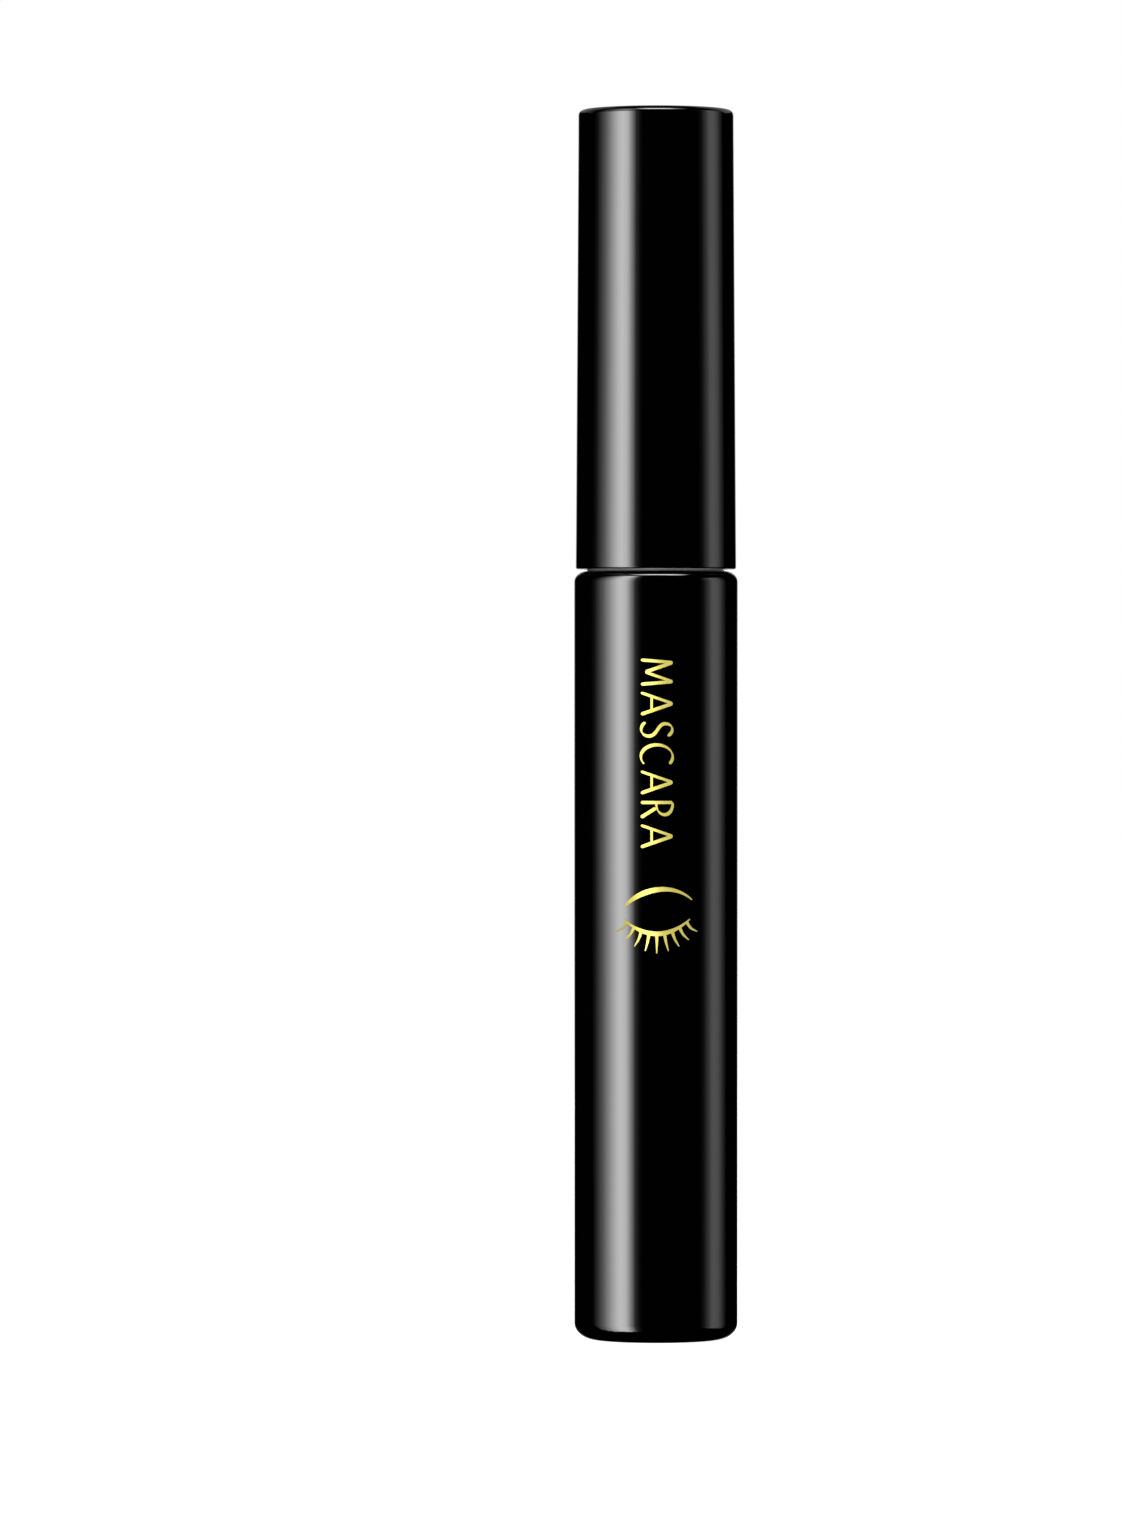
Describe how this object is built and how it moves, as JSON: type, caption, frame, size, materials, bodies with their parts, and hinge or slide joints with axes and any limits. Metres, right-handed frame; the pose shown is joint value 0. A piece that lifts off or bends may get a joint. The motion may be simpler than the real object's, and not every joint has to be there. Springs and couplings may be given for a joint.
{
  "type": "mascara tube",
  "caption": "Slim round cosmetic tube with a screw cap that carries a stem and a twisted-wire brush, a wiper in the neck and an inner vial.",
  "frame": {"origin": "centre of the base, on the plane that the tube stands on", "axes": "+Z along the tube's axis, from the base to the cap's top; +X to the right and +Y away from the viewer of the printed front"},
  "size_m": [0.017, 0.017, 0.1278],
  "materials": {
    "gloss_black": "gloss",
    "cap_black": "gloss",
    "vial_natural": "satin",
    "wiper_white": "satin",
    "seal_white": "matte",
    "stem_black": "gloss",
    "wire_black": "satin",
    "fibre_black": "satin",
    "liner_black": "satin",
    "gold_foil": "satin"
  },
  "bodies": {
    "bottle": {"bottle_casing": "gloss_black", "inner_vial": "vial_natural", "wiper": "wiper_white"},
    "seal": {"seal_ring": "seal_white"},
    "wand": {"stem": "stem_black"},
    "cap": {"outer_cap": "cap_black", "inner_cap": "liner_black", "brush_wire": "wire_black", "bristles": "fibre_black"}
  },
  "joints": [
    {"name": "pull_out", "type": "slide", "parent": "bottle", "child": "seal", "axis": [0, 0, 1], "range_m": [0, 0.095], "deforming": ["wiper", "bristles"]},
    {"name": "thread_rise", "type": "slide", "parent": "seal", "child": "wand", "axis": [0, 0, 1], "range_m": [0, 0.00375]},
    {"name": "cap_turn", "type": "hinge", "parent": "wand", "child": "cap", "pos_m": [0, 0, 0.09], "axis": [0, 0, 1], "range_deg": [0, 450]}
  ],
  "couplings": [
    {"joint": "thread_rise", "follows": "cap_turn", "m_per_rad": 0.00047746}
  ]
}
